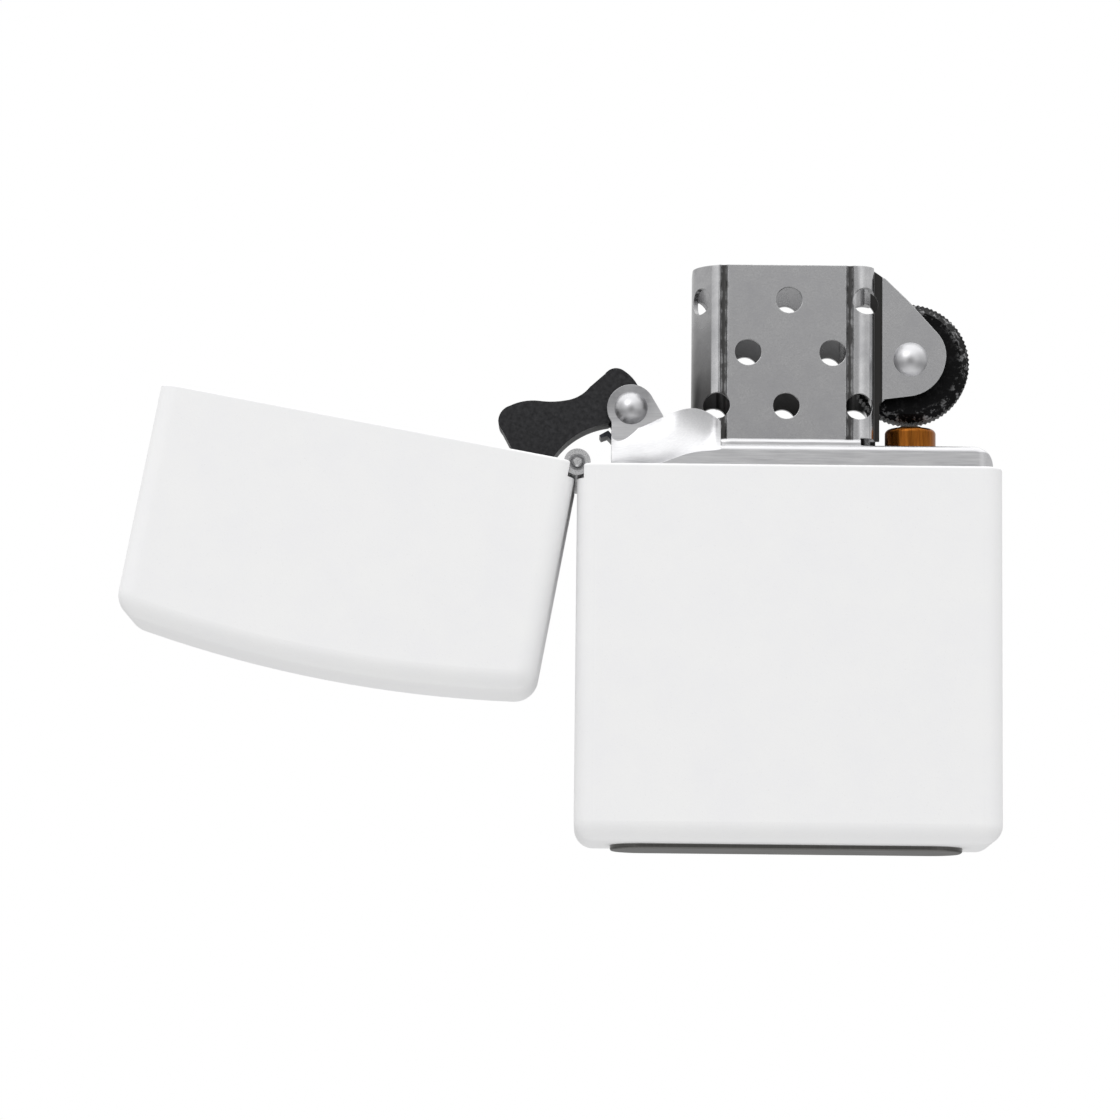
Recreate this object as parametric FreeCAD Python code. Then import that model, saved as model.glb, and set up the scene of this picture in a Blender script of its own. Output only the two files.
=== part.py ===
"""Flip-top windproof petrol lighter, standing upright with its lid fully open.

Millimetres. +X is to the right across the width, +Y goes from the front face to the back, +Z is up.
The origin is the centre of the base's flat face. Every shape is built in its closed, assembled place,
and the lid's shapes are then turned open about the hinge axis.
"""

import FreeCAD, Part
import math
import os

V = FreeCAD.Vector

# Case
WIDTH = 38.1
DEPTH = 13.0
WALL = 0.65
EDGE_R = 1.7            # rounding of the upright edges and of the edges round base and crown
BASE_CORNER_R = 1.75
BASE_BOSS_H = 0.5
BASE_BOSS = (15.8, 3.4)  # half sizes of the raised base panel
RIM_Z = 34.25
RIM_ROUND = 0.25

# Lid
PARTING_GAP = 0.2
LID_H = 22.5
CROWN_R = 115.0
CROWN_CORNER_R = 2.2
OPEN_ANGLE = 169.65

# Hinge
HINGE = V(-19.05, 0, 34.4)
PIN_R = 0.45
PIN_CLEARANCE = 0.05
KNUCKLE_R = 1.2
KNUCKLES = 5
BARREL_LENGTH = 11.7
KNUCKLE_GAP = 0.12
NOTCH_DEPTH = 1.5
SINK_R = 0.8            # countersink at the barrel's two ends
LEAF_T = 0.4
LEAF_LENGTH = 6.5
LEAF_HALF_WIDTH = 4.7

# Insert
INSERT_LEFT = -17.6
INSERT_RIGHT = 18.3
INSERT_HALF_DEPTH = 5.6
INSERT_BOTTOM = 2.0
DECK_Z = 36.2
DECK_STEP_Z = 32.5
DECK_STEP_X = -6.2
SHEET = 0.5
INSERT_EDGE_R = 1.4
DECK_END_R = 1.9
DECK_EDGE_R = 0.5
CHIMNEY_FOOT = 0.4      # how far the raised foot round the chimney stands out
CHIMNEY_FOOT_Z = 36.8
FOOT_NOTCH_X = 6.35

# Cam and the two ears that carry it
CAM_PIVOT = V(-14.25, 0, 39.9)
CAM_PIVOT_2D = (CAM_PIVOT.x, CAM_PIVOT.z)
CAM_T = 3.0
CAM_HUB_R = 2.05
CAM_RIVET_R = 0.8
CAM_RIVET_HEAD = (1.5, 0.85)
EAR_R = 2.17
EAR_INNER = 1.75
EAR_OUTER = 2.35
EAR_LEFT = -16.0
EAR_RIGHT = -11.33

# Chimney
CHIMNEY_LEFT = -8.75
CHIMNEY_RIGHT = 7.65
CHIMNEY_HALF_DEPTH = 4.9
CHIMNEY_TOP = 52.68
CHIMNEY_LEFT_R = 3.4
CHIMNEY_RIGHT_R = 1.6
AIR_HOLE_R = 1.2
AIR_ROWS = {49.5: (-0.1, 6.85), 44.7: (-3.78, 3.84), 39.83: (-6.58, -0.32, 6.24)}
SIDE_HOLE = (-7.9, 49.5)
GROOVES = (-5.99, 5.38)

# Striker wheel and the ears that carry it
WHEEL_AXIS = V(10.95, 0, 44.42)
WHEEL_R = 5.5
WHEEL_T = 3.6
WHEEL_CHAMFER = 0.75
WHEEL_TEETH = 80
WHEEL_TOOTH_H = 0.14
WHEEL_RIVET_R = 1.0
WHEEL_RIVET_HEAD = (1.55, 0.8)
WHEEL_EAR_INNER = 2.9
WHEEL_EAR_OUTER = 3.4
LINK_INNER = 2.6

# Flint column
TUBE_X = 11.15
TUBE_R = 2.0
BORE_R = 1.2
FLINT_R = 1.12
COLLAR_R = 2.31
COLLAR_Z = (36.62, 38.5)
FLINT_Z = (33.75, 38.75)
SPRING_Z = (7.1, 32.5)
SPRING_R = 0.95
SPRING_WIRE = 0.32
SPRING_TURNS = 20
SCREW_HEAD_Z = (1.95, 2.9)

# Wick, packing and pad
WICK_R = 1.6
WICK_ROUTE = ((-0.3, 38.4), (-0.3, 26.5), (-10.0, 22.5), (4.0, 16.5), (-10.0, 10.5), (2.0, 6.0))
WICK_BEND_R = 3.0
PAD_Z = (2.1, 4.3)


# ---- helpers ----

def xz(a, b):
    """A point in the front view's plane."""
    return V(a, 0, b)


def xy(a, b):
    """A point in the plan's plane."""
    return V(a, b, 0)


def outline(plane, start, *steps):
    """Closed wire. A step is an end point for a line, or (point on the arc, end point) for an arc."""
    edges, last = [], plane(*start)
    for step in steps + (start,):
        if isinstance(step[0], tuple):
            through, end = plane(*step[0]), plane(*step[1])
            edges.append(Part.Arc(last, through, end).toShape())
        else:
            end = plane(*step)
            if last.distanceToPoint(end) < 1e-6:
                continue
            edges.append(Part.LineSegment(last, end).toShape())
        last = end
    return Part.Wire(edges)


def plate(wire, y0, y1):
    """A front-view outline given thickness from y0 to y1."""
    face = Part.Face(wire)
    face.translate(V(0, y0, 0))
    return face.extrude(V(0, y1 - y0, 0))


def pillar(wire, z0, z1):
    """A plan outline raised from z0 to z1."""
    face = Part.Face(wire)
    face.translate(V(0, 0, z0))
    return face.extrude(V(0, 0, z1 - z0))


def box(x0, x1, y0, y1, z0, z1):
    return Part.makeBox(x1 - x0, y1 - y0, z1 - z0, V(x0, y0, z0))


def rod(x, z, radius, y0, y1):
    """A round bar along Y."""
    return Part.makeCylinder(radius, y1 - y0, V(x, y0, z), V(0, 1, 0))


def post(x, radius, z0, z1, y=0.0):
    """A round bar along Z."""
    return Part.makeCylinder(radius, z1 - z0, V(x, y, z0))


def both_sides(shape):
    """A shape and its mirror image across the plane Y = 0."""
    return shape, shape.mirror(V(0, 0, 0), V(0, 1, 0))


def fuse(first, *rest):
    return first.multiFuse(rest).removeSplitter()


def round_rectangle(x0, x1, half_depth, radius):
    """Plan outline with rounded corners."""
    k = radius * (1 - math.sqrt(0.5))
    y = half_depth
    return outline(
        xy, (x0 + radius, -y), (x1 - radius, -y),
        ((x1 - k, -y + k), (x1, -y + radius)), (x1, y - radius),
        ((x1 - k, y - k), (x1 - radius, y)), (x0 + radius, y),
        ((x0 + k, y - k), (x0, y - radius)), (x0, -y + radius),
        ((x0 + k, -y + k), (x0 + radius, -y)))


def dome(x, z, y, radius, height, side):
    """A rivet's domed head on a face at y, bulging towards side (-1 is the front)."""
    ball_r = (radius ** 2 + height ** 2) / (2 * height)
    ball = Part.makeSphere(ball_r, V(x, y + side * (height - ball_r), z))
    low, high = sorted((y, y + side * height))
    return ball.common(rod(x, z, radius, low, high))


def turned_open(shape):
    """The lid's shapes, carried from closed to fully open."""
    shape.rotate(HINGE, V(0, 1, 0), -OPEN_ANGLE)
    return shape


# ---- case ----

def front_outline_edges(solid, half_depth, skip_z):
    """The edges round the front and back faces of a slab, leaving out those at height skip_z."""
    found = []
    for edge in solid.Edges:
        points = [v.Point for v in edge.Vertexes]
        on_face = all(abs(abs(p.y) - half_depth) < 1e-4 for p in points)
        same_face = abs(points[0].y - points[-1].y) < 1e-4
        on_rim = all(abs(p.z - skip_z) < 1e-4 for p in points)
        if on_face and same_face and not on_rim:
            found.append(edge)
    return found


def body_form(inset):
    """The case body's outside, or its cavity when inset is the wall."""
    half, z0 = WIDTH / 2 - inset, BASE_BOSS_H + inset
    r = BASE_CORNER_R - inset
    k = r * (1 - math.sqrt(0.5))
    wire = outline(
        xz, (-half, RIM_Z), (-half, z0 + r), ((-half + k, z0 + k), (-half + r, z0)),
        (half - r, z0), ((half - k, z0 + k), (half, z0 + r)), (half, RIM_Z))
    half_depth = DEPTH / 2 - inset
    slab = plate(wire, -half_depth, half_depth)
    return slab.makeFillet(EDGE_R - inset, front_outline_edges(slab, half_depth, RIM_Z))


def crown_z(x, inset):
    """Height of the lid's crown at x."""
    centre = RIM_Z + PARTING_GAP + LID_H - CROWN_R
    return centre + math.sqrt((CROWN_R - inset) ** 2 - x ** 2)


def lid_form(inset):
    """The closed lid's outside, or its cavity when inset is the wall."""
    half, rim = WIDTH / 2 - inset, RIM_Z + PARTING_GAP
    wire = outline(xz, (-half, rim), (-half, crown_z(half, inset)),
                   ((0, crown_z(0, inset)), (half, crown_z(half, inset))), (half, rim))
    half_depth = DEPTH / 2 - inset
    slab = plate(wire, -half_depth, half_depth)
    corners = [e for e in slab.Edges
               if abs(e.Vertexes[0].Y - e.Vertexes[-1].Y) > 1 and e.Vertexes[0].Z > rim + 5]
    slab = slab.makeFillet(CROWN_CORNER_R - inset, corners)
    return slab.makeFillet(EDGE_R - inset, front_outline_edges(slab, half_depth, rim))


def hinge_notch():
    """The gap that both shells leave for the hinge barrel."""
    reach, room = BARREL_LENGTH / 2 + 0.25, BARREL_LENGTH / 2 + 0.1
    gap = box(-WIDTH / 2 - 1, -WIDTH / 2 + WALL + 0.2, -reach, reach,
              HINGE.z - NOTCH_DEPTH, HINGE.z + NOTCH_DEPTH)
    return fuse(gap, rod(HINGE.x, HINGE.z, KNUCKLE_R + 0.15, -room, room))


def rim_outer_edges(shell, z):
    """The outer edges of a shell's rim."""
    limit = DEPTH / 2 - WALL / 2
    found = []
    for edge in shell.Edges:
        flat = all(abs(v.Z - z) < 1e-4 for v in edge.Vertexes)
        middle = edge.valueAt((edge.FirstParameter + edge.LastParameter) / 2)
        if flat and abs(middle.z - z) < 1e-4 and (
                abs(middle.y) > limit or abs(middle.x) > WIDTH / 2 - WALL / 2
                or (abs(middle.x) > WIDTH / 2 - EDGE_R and edge.Curve.TypeId == "Part::GeomCircle"
                    and edge.Curve.Radius > EDGE_R - WALL / 2)):
            found.append(edge)
    return found


def case_body():
    half_x, half_y = BASE_BOSS
    boss = pillar(round_rectangle(-half_x, half_x, half_y, 2.9), 0, BASE_BOSS_H + WALL / 2)
    boss = boss.makeFillet(0.2, [e for e in boss.Edges if all(v.Z < 1e-4 for v in e.Vertexes)])
    dish = pillar(round_rectangle(-half_x + WALL, half_x - WALL, half_y - WALL, 2.9 - WALL),
                  WALL, BASE_BOSS_H + WALL + 0.1)
    shell = fuse(body_form(0), boss).cut(body_form(WALL)).cut(dish)
    shell = shell.makeFillet(RIM_ROUND, rim_outer_edges(shell, RIM_Z))
    return shell.cut(hinge_notch())


def case_lid():
    shell = lid_form(0).cut(lid_form(WALL))
    shell = shell.makeFillet(RIM_ROUND, rim_outer_edges(shell, RIM_Z + PARTING_GAP))
    return turned_open(shell.cut(hinge_notch()))


# ---- hinge ----

def knuckle_span(index):
    """Where one knuckle lies along Y."""
    pitch = BARREL_LENGTH / KNUCKLES
    start = -BARREL_LENGTH / 2 + index * pitch
    return start + KNUCKLE_GAP / 2, start + pitch - KNUCKLE_GAP / 2


def countersinks():
    """Cones that open the bore at the barrel's two ends."""
    end, depth = BARREL_LENGTH / 2 - KNUCKLE_GAP / 2, SINK_R - PIN_R
    return both_sides(Part.makeCone(PIN_R, SINK_R, depth, V(HINGE.x, end - depth, HINGE.z), V(0, 1, 0)))


def hinge_leaf(indices, side, bore_r):
    """A leaf inside one shell's wall. side is -1 below the hinge axis and 1 above it."""
    x0 = -WIDTH / 2 + WALL
    tip, top = HINGE.z + side * LEAF_LENGTH, HINGE.z + side * (KNUCKLE_R + 0.2)
    w = LEAF_HALF_WIDTH
    leaf = box(x0, x0 + LEAF_T, -w, w, min(tip, top), max(tip, top))
    pieces = []
    for index in indices:
        y0, y1 = knuckle_span(index)
        pieces.append(rod(HINGE.x, HINGE.z, KNUCKLE_R, y0, y1))
        low, high = sorted((HINGE.z, top))
        pieces.append(box(x0, x0 + LEAF_T, max(y0, -w), min(y1, w), low, high))
    return fuse(leaf, *pieces).cut([rod(HINGE.x, HINGE.z, bore_r, -DEPTH, DEPTH), *countersinks()])


def hinge_leaf_body():
    return hinge_leaf((0, 2, 4), -1, PIN_R)


def hinge_leaf_lid():
    return turned_open(hinge_leaf((1, 3), 1, PIN_R + PIN_CLEARANCE))


def hinge_pin():
    """Pin with bevelled ends that show in the countersinks."""
    reach = BARREL_LENGTH / 2
    pin = rod(HINGE.x, HINGE.z, PIN_R, -reach, reach)
    return pin.makeChamfer(0.15, [e for e in pin.Edges if len(e.Vertexes) == 1])


# ---- insert ----

# Sections across the saddle between the cam ears and the chimney:
# x, height of the side wall's top, half width of the ridge, height of the ridge.
SADDLE = ((EAR_LEFT, 33.7, 2.35, 37.3), (-13.6, 34.0, 2.35, 38.05), (-11.3, 34.5, 2.4, 39.1),
          (-9.4, 35.2, 3.0, 39.75), (-7.9, 35.5, 4.4, 39.45), (DECK_STEP_X, 35.7, 5.15, 38.3))


def saddle_section(x, wall_z, ridge_y, ridge_z, inset):
    """One section of the saddle, symmetric front to back, with concave flanks."""
    side = INSERT_HALF_DEPTH - inset
    wall, ridge, half = wall_z - inset, ridge_z - inset, ridge_y - inset * 0.6
    mid = (half + (side - half) * 0.36, wall + (ridge - wall) * 0.36)
    low = DECK_STEP_Z - SHEET / 2

    def at(y, z):
        return V(x, y, z)

    return outline(at, (-side, low), (-side, wall), ((-mid[0], mid[1]), (-half, ridge)), (half, ridge),
                   ((mid[0], mid[1]), (side, wall)), (side, low))


def saddle():
    """The pressed sheet that falls from the chimney and the cam ears to the side walls."""
    outer = Part.makeLoft([saddle_section(*s, 0) for s in SADDLE], True, False)
    first, last = SADDLE[0], SADDLE[-1]
    stretched = ((first[0] - 0.2,) + first[1:],) + SADDLE[1:-1] + ((last[0] + 0.2,) + last[1:],)
    inner = Part.makeLoft([saddle_section(*s, SHEET) for s in stretched], True, False)
    return outer.cut(inner)


def cam_ear_outline():
    """Round ear about the cam's rivet, with an upright left edge below it and a sloping right shoulder."""
    c, r = CAM_PIVOT, EAR_R
    neck_z = c.z - math.sqrt(r ** 2 - (EAR_LEFT - c.x) ** 2)
    slant = math.radians(25)
    shoulder = (c.x + r * math.cos(slant), c.z + r * math.sin(slant))
    return outline(
        xz, (EAR_LEFT, DECK_STEP_Z - 0.2), (EAR_LEFT, neck_z), ((c.x - r, c.z), (c.x, c.z + r)),
        ((c.x + r * math.sin(slant), c.z + r * math.cos(slant)), shoulder),
        (EAR_RIGHT, 39.2), (EAR_RIGHT, DECK_STEP_Z - 0.2))


def deck_form(inset, z0):
    """The tank's outside, or its cavity when inset is the wall. The deck's far end is rounded down."""
    x0, x1, top = INSERT_LEFT + inset, INSERT_RIGHT - inset, DECK_Z - inset
    half, r = INSERT_HALF_DEPTH - inset, DECK_END_R - inset
    k = r * (1 - math.sqrt(0.5))
    front = outline(xz, (x0, z0), (x0, top), (x1 - r, top), ((x1 - k, top - k), (x1, top - r)), (x1, z0))
    slab = plate(front, -half, half)
    edges = [e for e in slab.Edges if all(abs(v.Z - top) < 1e-4 for v in e.Vertexes)
             and abs(e.Vertexes[0].Y - e.Vertexes[-1].Y) < 1e-4]
    slab = slab.makeFillet(max(DECK_EDGE_R - inset, 0.1), edges)
    return slab.common(pillar(round_rectangle(x0, x1, half, INSERT_EDGE_R - inset), z0, DECK_Z + 1))


def tank():
    """The fuel tank: open below, with a deck that steps down at the cam's end."""
    depth = DEPTH / 2
    outer = deck_form(0, INSERT_BOTTOM).cut(
        box(INSERT_LEFT - 1, DECK_STEP_X, -depth, depth, DECK_STEP_Z, DECK_Z + 1))
    inner = deck_form(SHEET, INSERT_BOTTOM - 1).cut(
        box(INSERT_LEFT - 1, DECK_STEP_X + SHEET, -depth, depth, DECK_STEP_Z - SHEET, DECK_Z + 1))
    return outer.cut(inner)


def chimney_foot():
    """The raised, round-edged foot of the deck that the chimney stands in."""
    foot = pillar(chimney_plan(-CHIMNEY_FOOT), DECK_Z - 0.6, CHIMNEY_FOOT_Z)
    foot = foot.makeFillet(CHIMNEY_FOOT - 0.02, [e for e in foot.Edges if all(
        abs(v.Z - CHIMNEY_FOOT_Z) < 1e-4 for v in e.Vertexes)])
    room = pillar(chimney_plan(0), DECK_Z - 1, CHIMNEY_TOP)
    notch = box(FOOT_NOTCH_X, CHIMNEY_RIGHT + 2, -DEPTH, DEPTH, DECK_Z, CHIMNEY_TOP)
    return foot.cut([room, notch, box(-20, DECK_STEP_X, -DEPTH, DEPTH, 0, CHIMNEY_TOP)])


def insert_shell():
    ears = both_sides(plate(cam_ear_outline(), -EAR_OUTER, -EAR_INNER))
    ring = post(TUBE_X, 2.8, DECK_Z - 0.1, COLLAR_Z[0])
    ring = ring.makeFillet(0.2, [e for e in ring.Edges
                                 if len(e.Vertexes) == 1 and e.Vertexes[0].Z > DECK_Z + 0.3])
    slot = box(EAR_LEFT - 1, EAR_RIGHT + 0.7, -EAR_INNER, EAR_INNER, DECK_STEP_Z, 50)
    chimney_room = pillar(chimney_plan(0), DECK_Z, CHIMNEY_TOP)
    shell = fuse(tank(), saddle()).cut([slot, chimney_room])
    shell = fuse(shell, *ears, ring, chimney_foot())
    return shell.cut([
        post(TUBE_X, TUBE_R, 30, 40),
        post(WICK_ROUTE[0][0], WICK_R, 30, 40),
        rod(CAM_PIVOT.x, CAM_PIVOT.z, CAM_RIVET_R, -4, 4),
        post(-8.6, 0.6, 30, 34)])


def rivet(axis, radius, half_grip, head_r, head_h):
    """A rivet along Y with a domed head at each end."""
    shank = rod(axis.x, axis.z, radius, -half_grip, half_grip)
    heads = [dome(axis.x, axis.z, side * half_grip, head_r, head_h, side) for side in (-1, 1)]
    return fuse(shank, *heads)


def cam_rivet():
    return rivet(CAM_PIVOT, CAM_RIVET_R, EAR_OUTER, *CAM_RIVET_HEAD)


def cam():
    """The snap arm: a hub on its rivet, a humped back and a long arm that ends in a round nose."""
    hub = rod(CAM_PIVOT.x, CAM_PIVOT.z, CAM_HUB_R, -CAM_T / 2, CAM_T / 2)
    arm = outline(
        xz, (-13.45, 41.7), ((-14.37, 43.05), (-15.0, 43.53)), ((-15.7, 43.7), (-16.64, 43.15)),
        (-17.99, 41.95), ((-19.0, 41.08), (-20.24, 40.68)), ((-21.4, 40.56), (-22.51, 40.62)),
        ((-24.1, 40.55), (-25.22, 40.16)), ((-26.0, 39.6), (-26.28, 38.75)),
        ((-26.15, 38.25), (-25.9, 37.9)), (-25.13, 36.45), ((-24.5, 35.75), (-23.7, 35.5)),
        (-21.3, 35.35), ((-19.05, 37.6), (-16.3, 38.6)), CAM_PIVOT_2D)
    solid = fuse(plate(arm, -CAM_T / 2, CAM_T / 2), hub)
    return solid.cut(rod(CAM_PIVOT.x, CAM_PIVOT.z, CAM_RIVET_R + PIN_CLEARANCE, -4, 4))



def cam_spring():
    """A leaf spring: flat under its rivet, then curving up to a hooked tip below the cam's arm."""
    z = DECK_STEP_Z
    t = 0.3
    strip = outline(
        xz, (-7.4, z), (-10.2, z), ((-13.2, 34.5), (-16.4, 37.5)), (-16.95, 37.3), (-17.1, 37.55),
        (-16.3, 38.0), ((-13.1, 34.95), (-10.1, z + t)), (-7.4, z + t))
    return plate(strip, -1.3, 1.3).cut(post(-8.6, 0.6, 30, 34))


def cam_spring_rivet():
    z = DECK_STEP_Z
    head = post(-8.6, 1.1, z + 0.3, z + 0.7)
    tail = post(-8.6, 1.1, z - SHEET - 0.4, z - SHEET)
    return fuse(post(-8.6, 0.6, z - SHEET, z + 0.3), head, tail)


# ---- chimney ----

def chimney_plan(inset):
    """Plan outline: a wide rounded end on the cam's side, tighter corners on the wheel's side."""
    x0, x1, y = CHIMNEY_LEFT + inset, CHIMNEY_RIGHT - inset, CHIMNEY_HALF_DEPTH - inset
    a, b = CHIMNEY_LEFT_R - inset, CHIMNEY_RIGHT_R - inset
    ka, kb = a * (1 - math.sqrt(0.5)), b * (1 - math.sqrt(0.5))
    return outline(
        xy, (x0 + a, -y), (x1 - b, -y), ((x1 - kb, -y + kb), (x1, -y + b)), (x1, y - b),
        ((x1 - kb, y - kb), (x1 - b, y)), (x0 + a, y), ((x0 + ka, y - ka), (x0, y - a)),
        (x0, -y + a), ((x0 + ka, -y + ka), (x0 + a, -y)))


def wheel_ear_outline():
    """Ear that slopes down from the chimney's top and ends in a round nose about the wheel's rivet."""
    c, r = WHEEL_AXIS, 3.15
    nose = (c.x + r * math.cos(math.radians(-8)), c.z + r * math.sin(math.radians(-8)))
    return outline(
        xz, (8.4, 40.72), (8.4, 51.9), (8.65, 51.82), (10.77, 49.77), (13.45, 46.78),
        ((c.x + 3.08, c.z + 1.3), nose), ((c.x + r * 0.62, c.z - r * 0.785), (10.9, 41.05)))


def link_outline():
    """The recessed strip of sheet between the chimney's corner and the wheel ear."""
    x0 = CHIMNEY_RIGHT - SHEET
    return outline(xz, (x0, CHIMNEY_FOOT_Z), (x0, CHIMNEY_TOP), (CHIMNEY_RIGHT, CHIMNEY_TOP - 0.15),
                   (8.6, 51.87), (8.6, 40.72), (8.15, 40.3), (8.15, CHIMNEY_FOOT_Z))


def air_holes():
    """Three staggered rows of round holes through the front and back faces."""
    holes = [rod(x, z, AIR_HOLE_R, -8, 8) for z, row in AIR_ROWS.items() for x in row]
    x, z = SIDE_HOLE
    slanted = Part.makeCylinder(AIR_HOLE_R, 5, V(x + 1.2, -1.6, z), V(-0.72, -1, 0))
    return holes + list(both_sides(slanted))


def chimney():
    sheet = pillar(chimney_plan(0), DECK_Z, CHIMNEY_TOP).cut(
        pillar(chimney_plan(SHEET), DECK_Z - 1, CHIMNEY_TOP + 1))
    y, groove_y = CHIMNEY_HALF_DEPTH, CHIMNEY_HALF_DEPTH + 0.15
    ribs = [post(x, 0.5, DECK_Z, CHIMNEY_TOP, side * (y - 0.35)) for x in GROOVES for side in (-1, 1)]
    grooves = [post(x, 0.36, CHIMNEY_FOOT_Z, 60, side * groove_y) for x in GROOVES for side in (-1, 1)]
    sheet = fuse(sheet, *ribs).cut(
        box(CHIMNEY_RIGHT - 2, CHIMNEY_RIGHT + 1, -LINK_INNER, LINK_INNER, 0, 60))
    links = both_sides(plate(link_outline(), -LINK_INNER - SHEET, -LINK_INNER))
    ears = both_sides(plate(wheel_ear_outline(), -WHEEL_EAR_OUTER, -WHEEL_EAR_INNER))
    notch = box(FOOT_NOTCH_X, CHIMNEY_RIGHT + 1, -DEPTH, DEPTH, DECK_Z - 1, CHIMNEY_FOOT_Z + 0.15)
    return fuse(sheet, *links, *ears).cut(
        air_holes() + grooves + [notch, rod(WHEEL_AXIS.x, WHEEL_AXIS.z, WHEEL_RIVET_R, -5, 5)])


# ---- striker ----

def striker_wheel():
    """Hardened wheel with a fine toothed rim."""
    points = []
    for step in range(2 * WHEEL_TEETH):
        angle = math.pi * step / WHEEL_TEETH
        r = WHEEL_R - (step % 2) * WHEEL_TOOTH_H
        points.append(V(WHEEL_AXIS.x + r * math.cos(angle), 0, WHEEL_AXIS.z + r * math.sin(angle)))
    half = WHEEL_T / 2
    wheel = plate(Part.makePolygon(points + points[:1]), -half, half)
    cone_h = WHEEL_R - WHEEL_CHAMFER + half
    for side in (-1, 1):
        cone = Part.makeCone(cone_h, 0, cone_h, WHEEL_AXIS, V(0, side, 0))
        wheel = wheel.common(fuse(cone, rod(WHEEL_AXIS.x, WHEEL_AXIS.z, WHEEL_R + 1,
                                            *sorted((-side * half, 0)))))
    return wheel.cut(rod(WHEEL_AXIS.x, WHEEL_AXIS.z, WHEEL_RIVET_R + PIN_CLEARANCE, -4, 4))


def wheel_rivet():
    return rivet(WHEEL_AXIS, WHEEL_RIVET_R, WHEEL_EAR_OUTER, *WHEEL_RIVET_HEAD)


# ---- flint column ----

def flint_tube():
    """Brass tube through the tank, with a round-edged collar above the deck."""
    collar = post(TUBE_X, COLLAR_R, *COLLAR_Z)
    collar = collar.makeFillet(0.45, [e for e in collar.Edges
                                      if len(e.Vertexes) == 1 and e.Vertexes[0].Z > COLLAR_Z[1] - 0.01])
    tube = fuse(post(TUBE_X, TUBE_R, SCREW_HEAD_Z[1] + 0.1, COLLAR_Z[0]), collar)
    return tube.cut(post(TUBE_X, BORE_R, 0, 45))


def flint():
    stick = post(TUBE_X, FLINT_R, *FLINT_Z)
    return stick.makeChamfer(0.12, [e for e in stick.Edges if len(e.Vertexes) == 1])


def flint_spring_tip():
    """The cap on the spring's upper end that bears on the flint."""
    return fuse(post(TUBE_X, FLINT_R, SPRING_Z[1] + 0.05, FLINT_Z[0]),
                post(TUBE_X, 0.6, SPRING_Z[1] - 1.0, SPRING_Z[1] + 0.1))


def flint_spring():
    """Close coil of round wire."""
    height = SPRING_Z[1] - SPRING_Z[0] - SPRING_WIRE
    pitch = height / SPRING_TURNS
    path = Part.makeHelix(pitch, height, SPRING_R)
    section = Part.Wire(Part.makeCircle(SPRING_WIRE / 2, V(SPRING_R, 0, 0), V(0, 1, 0)))
    coil = Part.Wire(path.Edges).makePipeShell([section], True, True)
    coil.translate(V(TUBE_X, 0, SPRING_Z[0] + SPRING_WIRE / 2))
    return coil


def flint_screw():
    """Slotted screw that closes the tube and carries the spring."""
    low, high = SCREW_HEAD_Z
    screw = fuse(post(TUBE_X, 1.95, low, high), post(TUBE_X, BORE_R - PIN_CLEARANCE, high, SPRING_Z[0]),
                 post(TUBE_X, 0.6, SPRING_Z[0], SPRING_Z[0] + 1.2))
    return screw.cut(box(TUBE_X - 3, TUBE_X + 3, -0.3, 0.3, low - 1, low + 0.5))


# ---- wick, packing and pad ----

def wick_path():
    """Straight runs joined by tangent arcs, folding down through the packing."""
    points = [V(x, 0, z) for x, z in WICK_ROUTE]
    edges, last = [], points[0]
    for before, corner, after in zip(points, points[1:], points[2:]):
        a, b = (before - corner).normalize(), (after - corner).normalize()
        half = a.getAngle(b) / 2
        reach = WICK_BEND_R / math.tan(half)
        start, end = corner + a * reach, corner + b * reach
        inward = (a + b).normalize()
        middle = corner + inward * (WICK_BEND_R / math.sin(half) - WICK_BEND_R)
        edges += [Part.LineSegment(last, start).toShape(), Part.Arc(start, middle, end).toShape()]
        last = end
    edges.append(Part.LineSegment(last, points[-1]).toShape())
    return Part.Wire(edges)


def wick_solid(radius):
    x, z = WICK_ROUTE[0]
    section = Part.Wire(Part.makeCircle(radius, V(x, 0, z), V(0, 0, 1)))
    return wick_path().makePipeShell([section], True, True)


def wick_wire():
    """Copper strands that stiffen the wick's upper end."""
    x, z = WICK_ROUTE[0]
    strands = [post(x + 1.0 * math.cos(a), 0.17, z - 10, z + 0.12, 1.0 * math.sin(a))
               for a in (math.radians(45 + 90 * k) for k in range(4))]
    return Part.makeCompound(strands)


def wick():
    return wick_solid(WICK_R).cut(wick_wire())


def cotton_packing():
    """Soft tufts stacked in the tank round the wick and the flint tube."""
    x0, x1 = INSERT_LEFT + SHEET + 0.2, INSERT_RIGHT - SHEET - 0.2
    y = INSERT_HALF_DEPTH - SHEET - 0.2
    taken = [wick_solid(WICK_R), post(TUBE_X, TUBE_R + 0.05, 0, 40)]
    tufts = []
    z = PAD_Z[1] + 0.2
    height = (DECK_STEP_Z - SHEET - 0.8 - z) / 5
    for _ in range(5):
        tuft = box(x0, x1, -y, y, z, z + height - 0.1)
        tuft = tuft.makeFillet(1.2, tuft.Edges)
        tufts.append(tuft.cut(taken))
        z += height
    return Part.makeCompound(tufts)


def felt_pad():
    """Pad that closes the tank's underside, with a hole for the flint column."""
    x0, x1 = INSERT_LEFT + SHEET + 0.05, INSERT_RIGHT - SHEET - 0.05
    half = INSERT_HALF_DEPTH - SHEET - 0.05
    pad = pillar(round_rectangle(x0, x1, half, INSERT_EDGE_R - SHEET), *PAD_Z)
    return pad.cut(post(TUBE_X, TUBE_R + 0.15, 0, 10))


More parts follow.
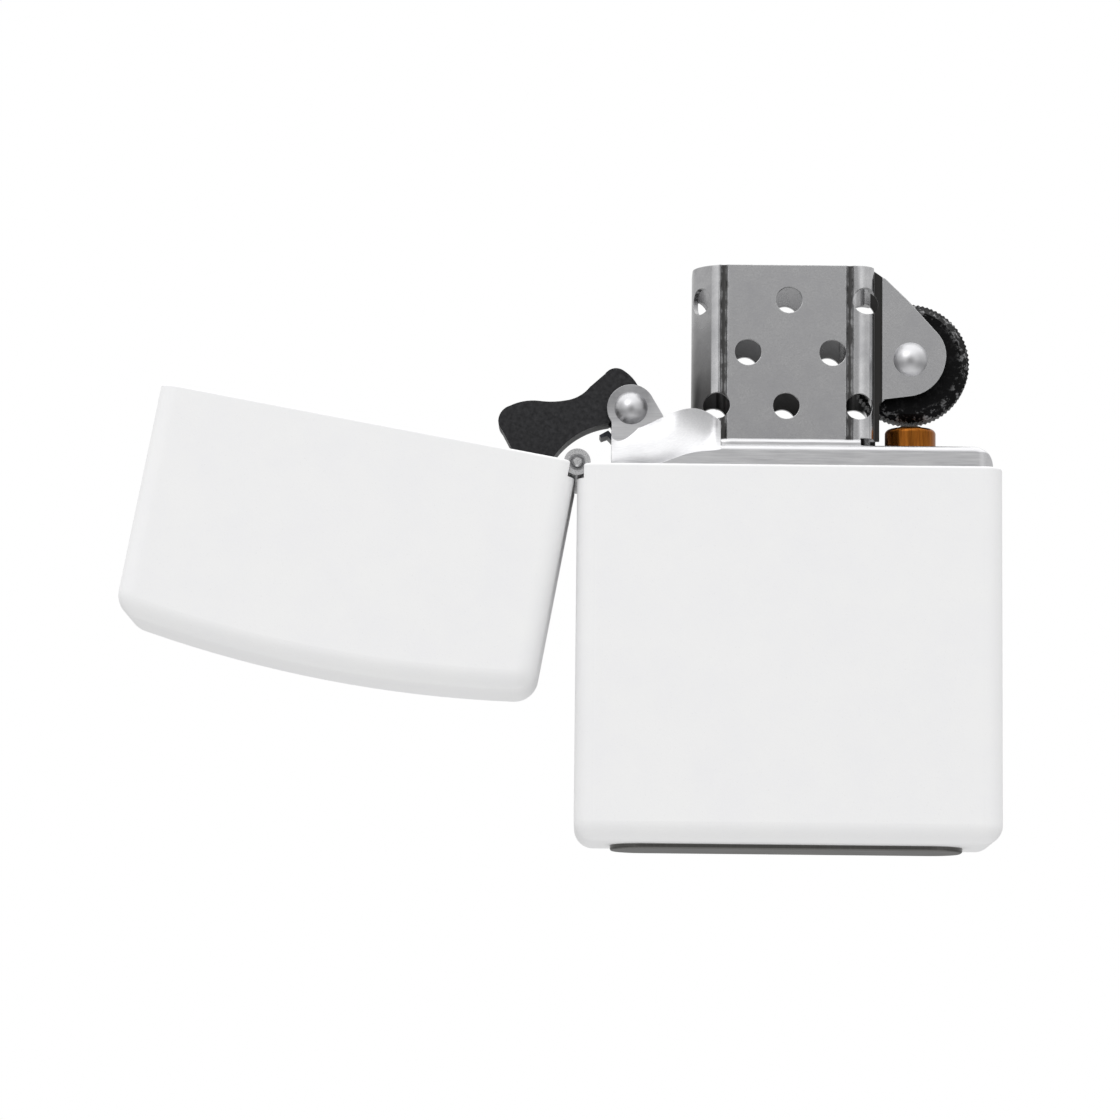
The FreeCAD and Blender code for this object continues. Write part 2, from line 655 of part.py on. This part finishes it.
NODES = (case_body, case_lid, hinge_leaf_body, hinge_leaf_lid, hinge_pin, insert_shell, cam, cam_rivet,
         cam_spring, cam_spring_rivet, chimney, striker_wheel, wheel_rivet, flint_tube, flint,
         flint_spring_tip, flint_spring, flint_screw, wick, wick_wire, cotton_packing, felt_pad)


def main():
    os.makedirs("parts", exist_ok=True)
    for build in NODES:
        shape = build()
        print("%-18s valid %s solids %d volume %.3f" % (
            build.__name__, shape.isValid(), len(shape.Solids), shape.Volume))
        shape.exportStep("parts/%s.step" % build.__name__)


main()
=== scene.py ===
"""Looks for the flip-top petrol lighter: materials, small soft details, studio and camera.

Everything is in metres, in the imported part's own frame: +X right, +Y from front to back, +Z up.
"""

import math
import random

import bmesh
import bpy
from mathutils import Matrix, Vector


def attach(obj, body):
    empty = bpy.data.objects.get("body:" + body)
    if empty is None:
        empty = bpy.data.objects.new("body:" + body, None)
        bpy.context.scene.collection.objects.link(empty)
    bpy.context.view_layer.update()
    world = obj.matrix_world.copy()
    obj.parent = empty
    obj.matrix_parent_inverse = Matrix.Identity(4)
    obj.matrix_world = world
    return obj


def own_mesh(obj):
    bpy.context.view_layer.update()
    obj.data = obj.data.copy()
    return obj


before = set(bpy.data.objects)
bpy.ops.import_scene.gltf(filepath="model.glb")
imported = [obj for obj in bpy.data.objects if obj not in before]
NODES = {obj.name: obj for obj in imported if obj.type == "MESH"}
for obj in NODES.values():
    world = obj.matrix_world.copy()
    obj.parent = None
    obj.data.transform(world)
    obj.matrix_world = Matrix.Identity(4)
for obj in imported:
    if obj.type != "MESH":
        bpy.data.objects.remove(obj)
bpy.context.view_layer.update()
SCENE = bpy.context.scene
MM = 0.001
TENT = 2.25  # brightness of the tent of light round the lighter
# The tent's level from straight down (0) to straight up (1): bright below, dimmest a little under the
# horizon, brightest above.
TENT_BANDS = ((0, 0.72), (0.1, 0.6), (0.2, 0.34), (0.3, 0.23), (0.45, 0.24), (0.52, 0.42), (0.6, 0.42),
              (0.72, 0.5), (0.85, 0.85), (1, 1))
# The tent's level from right behind the lighter (0) to right in front of it (1): brightest in a ring about
# the camera, with a dim opening inside the ring.
RING_BANDS = ((0, 0.75), (0.5, 0.82), (0.75, 0.75), (0.87, 0.95), (0.955, 1.15), (0.986, 0.5), (1, 0.42))
OPEN_ANGLE = math.radians(169.65)
HINGE = Vector((-19.05, 0, 34.4)) * MM
CASE_HALF = (19.05 * MM, 6.5 * MM)
CASE_R = 1.7 * MM
COAT_DEPTH = 0.4 * MM  # how far the coat's colour reaches into the sheet
BASE_Z = 0.5 * MM
CROWN_Z = 56.95 * MM
CROWN_R = 115 * MM
WHEEL_AXIS = Vector((10.95, 0, 44.42)) * MM
WHEEL_R = 5.5 * MM
WICK_TOP = Vector((-0.3, 0, 38.4)) * MM
FRAY_R = 1.5 * MM
FRAY_FIBRES = 420
THIRDS = (0, 2.094, 4.189)  # of a turn, in radians
CHIMNEY_INSIDE = 4.4 * MM  # half the clear depth inside the chimney
GROOVES = (-5.99 * MM, 5.38 * MM)
EDGE_WEAR_R = 0.07 * MM


# ---- node-tree helpers ----

class Tree:
    """A short way to write a material's nodes."""

    def __init__(self, name):
        self.material = bpy.data.materials.new(name)
        self.material.use_nodes = True
        self.nodes = self.material.node_tree.nodes
        self.links = self.material.node_tree.links
        self.shader = self.nodes["Principled BSDF"]

    def add(self, kind, inputs=None, **settings):
        node = self.nodes.new(kind)
        for key, value in settings.items():
            setattr(node, key, value)
        for key, value in (inputs or {}).items():
            self.put(node.inputs[key], value)
        return node

    def put(self, socket, value):
        if isinstance(value, bpy.types.NodeSocket):
            self.links.new(value, socket)
        else:
            socket.default_value = value

    def set(self, **values):
        for key, value in values.items():
            self.put(self.shader.inputs[key.replace("_", " ")], value)

    def place(self, scale=(1, 1, 1), turn=(0, 0, 0), about=(0, 0, 0)):
        """Object coordinates in metres, turned about a point and then stretched."""
        coords = self.add("ShaderNodeTexCoord").outputs["Object"]
        if any(turn):
            coords = self.add("ShaderNodeVectorRotate", {"Vector": coords, "Center": about, "Rotation": turn},
                              rotation_type="EULER_XYZ").outputs[0]
        if tuple(scale) == (1, 1, 1):
            return coords
        return self.add("ShaderNodeVectorMath", {0: coords, 1: scale}, operation="MULTIPLY").outputs[0]

    def noise(self, where, scale, detail=3.0, rough=0.5):
        return self.add("ShaderNodeTexNoise", {"Vector": where, "Scale": scale, "Detail": detail,
                                               "Roughness": rough}).outputs["Fac"]

    def ramp(self, value, low, high, a=0.0, b=1.0):
        """value's stretch from low to high, carried to a..b and held beyond it."""
        return self.add("ShaderNodeMapRange", {"Value": value, "From Min": low, "From Max": high,
                                               "To Min": a, "To Max": b}).outputs["Result"]

    def math(self, operation, a, b=0.0, c=0.0):
        return self.add("ShaderNodeMath", {0: a, 1: b, 2: c}, operation=operation).outputs[0]

    def mix(self, fac, a, b):
        node = self.add("ShaderNodeMix", data_type="RGBA")
        self.put(node.inputs["Factor"], fac)
        self.put(node.inputs["A"], a)
        self.put(node.inputs["B"], b)
        return node.outputs["Result"]

    def bump(self, height, distance, strength=1.0, normal=None):
        inputs = {"Height": height, "Distance": distance, "Strength": strength}
        if normal is not None:
            inputs["Normal"] = normal
        return self.add("ShaderNodeBump", inputs).outputs["Normal"]

    def worn_edges(self):
        """The surface's normal with its sharp edges rounded off."""
        return self.add("ShaderNodeBevel", {"Radius": EDGE_WEAR_R}, samples=4).outputs["Normal"]


def rgb(r, g, b):
    """An 8-bit sRGB colour as a linear one."""
    def linear(v):
        v /= 255
        return v / 12.92 if v <= 0.04045 else ((v + 0.055) / 1.055) ** 2.4
    return linear(r), linear(g), linear(b), 1.0


STEEL, STEEL_DULL = rgb(210, 210, 211), rgb(180, 180, 182)
GRAIN_DEPTH = 0.004 * MM


def wear(t, where, inputs=(0.45, 0.7)):
    """Faint cloudy variation, from 0 to 1."""
    return t.ramp(t.noise(where, 260, 5, 0.6), *inputs)


# ---- materials ----

def coat_outside(t, where):
    """Matte powder coat: fine orange peel with a few pinholes. Returns colour, roughness, normal."""
    peel = t.noise(where, 5200, 2, 0.5)
    broad = t.noise(where, 900, 2, 0.5)
    specks = t.ramp(t.noise(where, 9000, 1, 0.5), 0.7, 0.78)
    clouds = wear(t, where, (0.35, 0.7))
    colour = t.mix(clouds, rgb(240, 240, 240), rgb(238, 238, 239))
    colour = t.mix(t.math("MULTIPLY", specks, 0.35), colour, rgb(216, 216, 217))
    normal = t.bump(peel, 0.01 * MM, 0.5, t.bump(broad, 0.02 * MM, 0.12))
    return colour, t.ramp(clouds, 0, 1, 0.52, 0.56), normal


def coated_case(name, turn):
    """White coat outside and drawn bare metal inside, told apart by depth below the outer surface."""
    t = Tree(name)
    where = t.place(turn=(0, turn, 0), about=HINGE)
    colour, rough, normal = coat_outside(t, where)
    x, y, z = t.add("ShaderNodeSeparateXYZ", {"Vector": where}).outputs
    half_x, half_y, r = CASE_HALF[0] - CASE_R, CASE_HALF[1] - CASE_R, CASE_R
    if turn:
        fall = t.math("MULTIPLY", t.math("MULTIPLY", x, x), 0.5 / CROWN_R)
        beyond = t.math("ADD", t.math("SUBTRACT", z, CROWN_Z - r), fall)
    else:
        beyond = t.math("SUBTRACT", BASE_Z + r, z)
    over = [t.math("MAXIMUM", t.math("SUBTRACT", t.math("ABSOLUTE", x), half_x), 0.0),
            t.math("MAXIMUM", t.math("SUBTRACT", t.math("ABSOLUTE", y), half_y), 0.0),
            t.math("MAXIMUM", beyond, 0.0)]
    corner = t.add("ShaderNodeCombineXYZ", {"X": over[0], "Y": over[1], "Z": over[2]}).outputs[0]
    reach = t.add("ShaderNodeVectorMath", {0: corner}, operation="LENGTH").outputs["Value"]
    inside = t.ramp(reach, r - COAT_DEPTH - 0.05 * MM, r - COAT_DEPTH, 1, 0)
    base = 0.0 if turn else t.ramp(z, BASE_Z - 0.08 * MM, BASE_Z - 0.02 * MM, 1, 0)
    bare = t.math("MAXIMUM", inside, base)
    drawn = t.noise(t.add("ShaderNodeVectorMath", {0: where, 1: (6000, 6000, 300)},
                          operation="MULTIPLY").outputs[0], 1.0, 3, 0.6)
    steel = t.mix(drawn, rgb(190, 190, 189), rgb(208, 208, 207))
    # The base is bare metal, painted much darker than the steel inside as painted shade.
    steel = t.mix(base, steel, t.mix(drawn, rgb(84, 83, 81), rgb(104, 103, 101)))
    t.set(Base_Color=t.mix(bare, colour, steel), Metallic=bare,
          Roughness=t.math("ADD", t.math("MULTIPLY", bare, -0.2), rough), Normal=normal,
          Specular_IOR_Level=0.35)
    return t.material


def brushed(name, colour, dark, along):
    """Metal with a fine grain drawn out along one axis."""
    t = Tree(name)
    stretch = [9000.0] * 3
    stretch["xyz".index(along)] = 350.0
    where = t.place()
    grain = t.noise(t.add("ShaderNodeVectorMath", {0: where, 1: stretch}, operation="MULTIPLY").outputs[0],
                    1.0, 4, 0.65)
    stains = wear(t, where)
    base = t.mix(t.ramp(grain, 0.3, 0.7), dark, colour)
    t.set(Base_Color=t.mix(t.math("MULTIPLY", stains, 0.35), base, dark), Metallic=1.0,
          Roughness=t.ramp(grain, 0.25, 0.75, 0.2, 0.4), Normal=t.bump(grain, GRAIN_DEPTH, 0.6))
    return t.material


def chimney_steel():
    """Satin sheet, smudged, with painted shade in its creases and beside the wheel ears, and painted shade
    inside that grows darker towards the bottom.
    """
    t = Tree("chimney_steel")
    where = t.place()
    x, y, z = t.add("ShaderNodeSeparateXYZ", {"Vector": where}).outputs
    deep = t.math("ABSOLUTE", y)
    grain = t.noise(where, 7000, 3, 0.6)
    smudge_and_shade = t.ramp(t.noise(where, 420, 6, 0.62), 0.38, 0.68)
    steel = t.mix(smudge_and_shade, STEEL, STEEL_DULL)
    steel = t.mix(t.ramp(grain, 0.35, 0.7, 0, 0.5), steel, STEEL_DULL)
    outside = t.ramp(deep, CHIMNEY_INSIDE + 0.05 * MM, CHIMNEY_INSIDE + 0.2 * MM)
    ragged = t.ramp(t.noise(where, 900, 4, 0.6), 0.35, 0.65, -0.08 * MM, 0.12 * MM)
    # Painted shade along both creases, with a ragged edge.
    crease_shade = 0.0
    for place in GROOVES:
        away = t.math("ABSOLUTE", t.math("SUBTRACT", x, place))
        near = t.ramp(t.math("ADD", away, ragged), 0.14 * MM, 0.45 * MM, 1, 0)
        crease_shade = t.math("MAXIMUM", crease_shade, near)
    crease_shade = t.math("MULTIPLY", crease_shade, outside)
    # Painted shade on the narrow strip between the chimney and the wheel ear.
    strip_shade = t.math("MULTIPLY", t.ramp(x, 7.62 * MM, 7.7 * MM), t.ramp(x, 8.38 * MM, 8.42 * MM, 1, 0))
    # Painted shade inside the chimney, darker towards the bottom.
    inside = t.math("MULTIPLY", t.ramp(deep, CHIMNEY_INSIDE, CHIMNEY_INSIDE + 0.06 * MM, 1, 0),
                    t.ramp(x, 7.1 * MM, 7.3 * MM, 1, 0))
    inside_shade = t.math("MULTIPLY", inside, t.ramp(z, 41 * MM, 50 * MM, 0.9, 0.25))
    # The painted shade darkens the steel and makes it a little less metallic and rougher.
    painted_shade = t.math("MAXIMUM", t.math("MULTIPLY", crease_shade, 0.95), t.math("MAXIMUM", strip_shade, inside_shade))
    t.set(Base_Color=t.mix(painted_shade, steel, rgb(46, 45, 44)), Metallic=t.ramp(painted_shade, 0, 1, 1.0, 0.7),
          Roughness=t.math("ADD", t.ramp(smudge_and_shade, 0, 1, 0.19, 0.27), t.math("MULTIPLY", painted_shade, 0.15)),
          Normal=t.bump(grain, 0.005 * MM, 0.7, t.worn_edges()))
    return t.material


def insert_steel():
    """Drawn sheet with its grain along the lighter's width, and painted shade in a mottle on its cam ears."""
    t = Tree("insert_steel")
    where = t.place()
    grain = t.noise(t.place(scale=(350, 9000, 9000)), 1.0, 4, 0.65)
    x, _, z = t.add("ShaderNodeSeparateXYZ", {"Vector": where}).outputs
    # Painted shade: the cam ears are coloured darker, in a mottle.
    ear_shade = t.math("MULTIPLY", t.ramp(z, 38.4 * MM, 40 * MM), t.ramp(x, -12.8 * MM, -11.2 * MM, 1, 0))
    smudge_and_shade = t.math("MULTIPLY", t.ramp(t.noise(where, 500, 5, 0.6), 0.4, 0.7, 0.6, 1.0), ear_shade)
    steel = t.mix(t.ramp(grain, 0.3, 0.7), rgb(196, 196, 198), rgb(212, 212, 213))
    t.set(Base_Color=t.mix(smudge_and_shade, steel, rgb(150, 150, 152)), Metallic=1.0,
          Roughness=t.ramp(grain, 0.25, 0.75, 0.28, 0.42),
          Normal=t.bump(grain, GRAIN_DEPTH, 0.6, t.worn_edges()))
    return t.material


def polished(name, colour):
    """Rivet metal with faint scratches."""
    t = Tree(name)
    where = t.place()
    scratch = t.noise(t.add("ShaderNodeVectorMath", {0: where, 1: (9000, 2000, 9000)},
                            operation="MULTIPLY").outputs[0], 1.0, 5, 0.7)
    t.set(Base_Color=t.mix(wear(t, where), colour, tuple(c * 0.85 for c in colour[:3]) + (1,)), Metallic=1.0,
          Roughness=t.ramp(scratch, 0.3, 0.7, 0.28, 0.38), Normal=t.bump(scratch, 0.003 * MM, 0.4))
    return t.material


def oxide(name, colour, light, roughness=0.42, metallic=0.6):
    """Dark oxide steel with a slight mottle."""
    t = Tree(name)
    where = t.place()
    mottle = t.noise(where, 2600, 5, 0.6)
    fine = t.noise(where, 11000, 2, 0.5)
    t.set(Base_Color=t.mix(t.ramp(mottle, 0.35, 0.75), colour, light), Metallic=metallic,
          Roughness=t.ramp(mottle, 0.3, 0.7, roughness - 0.06, roughness + 0.08),
          Normal=t.bump(fine, 0.005 * MM, 0.5))
    return t.material


def glinting_wheel():
    """Black hardened wheel, with bright specks on its toothed rim as painted glints."""
    t = Tree("wheel_glints")
    where = t.place()
    x, _, z = t.add("ShaderNodeSeparateXYZ", {"Vector": where}).outputs
    dx, dz = t.math("SUBTRACT", x, WHEEL_AXIS.x), t.math("SUBTRACT", z, WHEEL_AXIS.z)
    out = t.math("SQRT", t.math("ADD", t.math("MULTIPLY", dx, dx), t.math("MULTIPLY", dz, dz)))
    rim = t.ramp(out, WHEEL_R - 1.2 * MM, WHEEL_R - 0.4 * MM)
    specks = t.ramp(t.noise(where, 1900, 4, 0.7), 0.53, 0.62)
    # Painted glints: bright specks, strongest on the toothed rim and faint elsewhere.
    rim_glints = t.math("MULTIPLY", t.ramp(rim, 0, 1, 0.03, 1.0), specks)
    rough = t.noise(where, 7000, 3, 0.6)
    t.set(Base_Color=t.mix(rim_glints, rgb(8, 8, 9), rgb(132, 132, 133)), Metallic=0.75,
          Specular_IOR_Level=0.3, Roughness=t.ramp(rough, 0.3, 0.7, 0.32, 0.5),
          Normal=t.bump(rough, 0.04 * MM, 0.8))
    return t.material


def fibres(name, colour, shade, scale, depth):
    """Matted cotton or felt."""
    t = Tree(name)
    where = t.place()
    strands = t.noise(where, scale, 8, 0.7)
    lumps = t.noise(where, scale * 0.15, 3, 0.5)
    height = t.math("ADD", strands, t.math("MULTIPLY", lumps, 0.8))
    t.set(Base_Color=t.mix(t.ramp(strands, 0.3, 0.7), shade, colour), Roughness=0.95, Sheen_Weight=0.4,
          Sheen_Roughness=0.5, Specular_IOR_Level=0.1, Normal=t.bump(height, depth, 1.0))
    return t.material


def braided(name):
    """Braided cotton: two sets of strands that cross round the wick."""
    t = Tree(name)
    where = t.place()
    x, y, z = t.add("ShaderNodeSeparateXYZ", {"Vector": where}).outputs
    turn = t.math("ARCTAN2", y, t.math("SUBTRACT", x, WICK_TOP.x))
    waves = []
    for side in (1, -1):
        phase = t.math("ADD", t.math("MULTIPLY", turn, 6.0 * side), t.math("MULTIPLY", z, 5200.0))
        waves.append(t.math("ABSOLUTE", t.math("SINE", phase)))
    weave = t.math("MAXIMUM", *waves)
    fuzz = t.noise(where, 9000, 4, 0.7)
    height = t.math("ADD", weave, t.math("MULTIPLY", fuzz, 0.4))
    t.set(Base_Color=t.mix(t.ramp(weave, 0.5, 1.0), rgb(176, 168, 150), rgb(226, 220, 206)), Roughness=0.9,
          Sheen_Weight=0.3, Specular_IOR_Level=0.1, Normal=t.bump(height, 0.12 * MM, 0.8))
    return t.material


def dress(node, material):
    mesh = NODES[node].data
    mesh.materials.clear()
    mesh.materials.append(material)


def dress_all():
    dress("case_body", coated_case("white_coat_body", 0.0))
    dress("case_lid", coated_case("white_coat_lid", OPEN_ANGLE))
    dress("insert_shell", insert_steel())
    dress("chimney", chimney_steel())
    dress("cam", oxide("cam_oxide", rgb(30, 30, 32), rgb(54, 54, 56)))
    # The cam spring is coloured dark steel with a slight blue tint.
    dress("cam_spring", oxide("spring_dark", rgb(40, 41, 46), rgb(64, 66, 72), 0.35, 0.8))
    dress("striker_wheel", glinting_wheel())
    for node in ("cam_rivet", "wheel_rivet", "cam_spring_rivet"):
        dress(node, polished(node + "_polish", rgb(196, 196, 198)))
    for node in ("hinge_leaf_body", "hinge_leaf_lid", "hinge_pin"):
        dress(node, brushed(node + "_steel", rgb(214, 214, 214), rgb(190, 190, 192), "y"))
    brass = brushed("tube_brass", rgb(168, 104, 40), rgb(112, 62, 20), "z")
    for node in ("flint_tube", "flint_screw", "flint_spring_tip"):
        dress(node, brass)
    dress("flint", oxide("flint_cast", rgb(96, 88, 80), rgb(128, 118, 106), 0.6, 0.5))
    dress("flint_spring", oxide("flint_spring_steel", rgb(110, 110, 112), rgb(150, 150, 152), 0.3, 1.0))
    dress("wick", braided("wick_braid"))
    dress("wick_wire", brushed("copper_wire", rgb(196, 120, 84), rgb(168, 96, 64), "z"))
    dress("cotton_packing", fibres("cotton", rgb(244, 243, 238), rgb(222, 220, 212), 1400, 0.4 * MM))
    dress("felt_pad", fibres("felt", rgb(232, 228, 216), rgb(200, 195, 182), 3000, 0.2 * MM))


# ---- soft details ----

def fibre(mesh, root, lean, length, radius):
    """One tapering three-sided fibre that bends over towards lean."""
    rings, steps = [], 4
    for step in range(steps + 1):
        part = step / steps
        centre = root + Vector((lean[0] * part ** 1.6, lean[1] * part ** 1.6, length * part))
        thick = radius * (1 - 0.75 * part)
        rings.append([mesh.verts.new(centre + Vector((thick * math.cos(a), thick * math.sin(a), 0)))
                      for a in THIRDS])
    for low, high in zip(rings, rings[1:]):
        for k in range(3):
            mesh.faces.new((low[k], low[(k + 1) % 3], high[(k + 1) % 3], high[k]))
    mesh.faces.new(rings[-1])


def wick_fray():
    """Loose cotton ends that stand up from the wick's cut top."""
    dice = random.Random(7)
    mesh = bmesh.new()
    for _ in range(FRAY_FIBRES):
        turn = dice.uniform(0, 2 * math.pi)
        out = FRAY_R * math.sqrt(dice.random())
        root = WICK_TOP + Vector((out * math.cos(turn), out * math.sin(turn), -0.1 * MM))
        away = (dice.uniform(0.05, 0.5) * out / FRAY_R + 0.05) * MM
        sway = turn + dice.uniform(-0.8, 0.8)
        lean = (away * math.cos(sway), away * math.sin(sway))
        fibre(mesh, root, lean, length=dice.uniform(0.3, 0.6) * MM, radius=0.055 * MM)
    data = bpy.data.meshes.new("wick_fray")
    mesh.to_mesh(data)
    mesh.free()
    fray = bpy.data.objects.new("wick_fray", data)
    SCENE.collection.objects.link(fray)
    t = Tree("wick_ends")
    z = t.add("ShaderNodeSeparateXYZ", {"Vector": t.place()}).outputs["Z"]
    singed = t.math("MULTIPLY", t.ramp(z, WICK_TOP.z + 0.1 * MM, WICK_TOP.z + 0.5 * MM),
                    t.ramp(t.noise(t.place(), 1500, 3, 0.6), 0.35, 0.6))
    t.set(Base_Color=t.mix(singed, rgb(222, 214, 196), rgb(64, 56, 48)), Roughness=0.9, Sheen_Weight=0.3,
          Specular_IOR_Level=0.1)
    data.materials.append(t.material)
    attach(fray, "case")


def sprung_coil():
    """Gives the flint's coil its own copy of its mesh."""
    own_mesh(NODES["flint_spring"])


# ---- studio ----

def one_sided_floor():
    """Pale floor under the lighter. It shows from above only, because the camera looks up from below it."""
    bpy.ops.mesh.primitive_plane_add(size=6, location=(0, 0, -0.01 * MM))
    floor = bpy.context.object
    floor.name = "floor"
    t = Tree("pale_floor")
    t.set(Base_Color=rgb(236, 236, 236), Roughness=0.7)
    side = t.add("ShaderNodeNewGeometry").outputs["Backfacing"]
    clear = t.add("ShaderNodeBsdfTransparent").outputs[0]
    both = t.add("ShaderNodeMixShader", {0: side, 1: t.shader.outputs[0], 2: clear})
    t.links.new(both.outputs[0], t.nodes["Material Output"].inputs["Surface"])
    floor.data.materials.append(t.material)
    # The light from below comes through it, as on a light table.
    floor.visible_diffuse = floor.visible_glossy = floor.visible_shadow = False


def backdrop():
    """White behind the lighter for the camera. A tent with a dim opening in front lights the lighter."""
    world = bpy.data.worlds.new("studio")
    SCENE.world = world
    world.use_nodes = True
    nodes, links = world.node_tree.nodes, world.node_tree.links

    def node(kind, inputs, **settings):
        made = nodes.new(kind)
        for key, value in settings.items():
            setattr(made, key, value)
        for key, value in inputs.items():
            if isinstance(value, bpy.types.NodeSocket):
                links.new(value, made.inputs[key])
            else:
                made.inputs[key].default_value = value
        return made

    def ramp_of(value, stops):
        made = nodes.new("ShaderNodeValToRGB")
        links.new(value, made.inputs["Fac"])
        elements = made.color_ramp.elements
        while len(elements) < len(stops):
            elements.new(0.5)
        for element, (place, grey) in zip(elements, stops):
            element.position = place
            element.color = (grey, grey, grey, 1)
        return made.outputs["Color"]

    direction = nodes.new("ShaderNodeTexCoord").outputs["Generated"]
    up = node("ShaderNodeSeparateXYZ", {"Vector": direction}).outputs["Z"]
    share = node("ShaderNodeMapRange", {"Value": up, "From Min": -1.0, "From Max": 1.0}).outputs["Result"]
    bands = ramp_of(share, TENT_BANDS)
    ahead = node("ShaderNodeVectorMath", {0: direction, 1: (0, -1, 0)},
                 operation="DOT_PRODUCT").outputs["Value"]
    turned = node("ShaderNodeMapRange", {"Value": ahead, "From Min": -1.0, "From Max": 1.0}).outputs["Result"]
    ring = ramp_of(turned, RING_BANDS)
    dim = node("ShaderNodeMath", {0: ring, 1: TENT}, operation="MULTIPLY").outputs[0]
    level = node("ShaderNodeMath", {0: bands, 1: dim}, operation="MULTIPLY").outputs[0]
    room = nodes["Background"]
    links.new(level, room.inputs["Strength"])
    room.inputs["Color"].default_value = (1, 1, 1, 1)
    white = node("ShaderNodeBackground", {"Color": (1, 1, 1, 1), "Strength": 1.0})
    seen = nodes.new("ShaderNodeLightPath").outputs["Is Camera Ray"]
    both = node("ShaderNodeMixShader", {0: seen, 1: room.outputs[0], 2: white.outputs[0]})
    links.new(both.outputs[0], nodes["World Output"].inputs["Surface"])


def key_light():
    """A soft square light from the upper left, in front."""
    place, aim = Vector((-250, -500, 380)) * MM, Vector((-20, 0, 30)) * MM
    data = bpy.data.lights.new("key", "AREA")
    data.shape = "RECTANGLE"
    data.size = data.size_y = 320 * MM
    data.energy = 0.5
    light = bpy.data.objects.new("key", data)
    SCENE.collection.objects.link(light)
    turn = (aim - place).to_track_quat("-Z", "Y").to_matrix().to_4x4()
    light.matrix_world = Matrix.Translation(place) @ turn


def camera():
    """A long lens a little below the base, looking slightly up."""
    data = bpy.data.cameras.new("camera")
    data.sensor_width = 36
    data.lens = 144.3
    data.clip_start, data.clip_end = 0.01, 50
    cam = bpy.data.objects.new("camera", data)
    SCENE.collection.objects.link(cam)
    place = Vector((-17.45, -403.1, -27.9)) * MM
    aim = Vector((-20.5, -6.5, 25.4)) * MM
    turn = (aim - place).to_track_quat("-Z", "Y").to_matrix().to_4x4()
    roll = Matrix.Rotation(math.radians(0.62), 4, "Z")
    cam.matrix_world = Matrix.Translation(place) @ turn @ roll
    SCENE.camera = cam


SCENE.view_settings.view_transform = "Standard"
dress_all()
wick_fray()
sprung_coil()
one_sided_floor()
backdrop()
key_light()
camera()
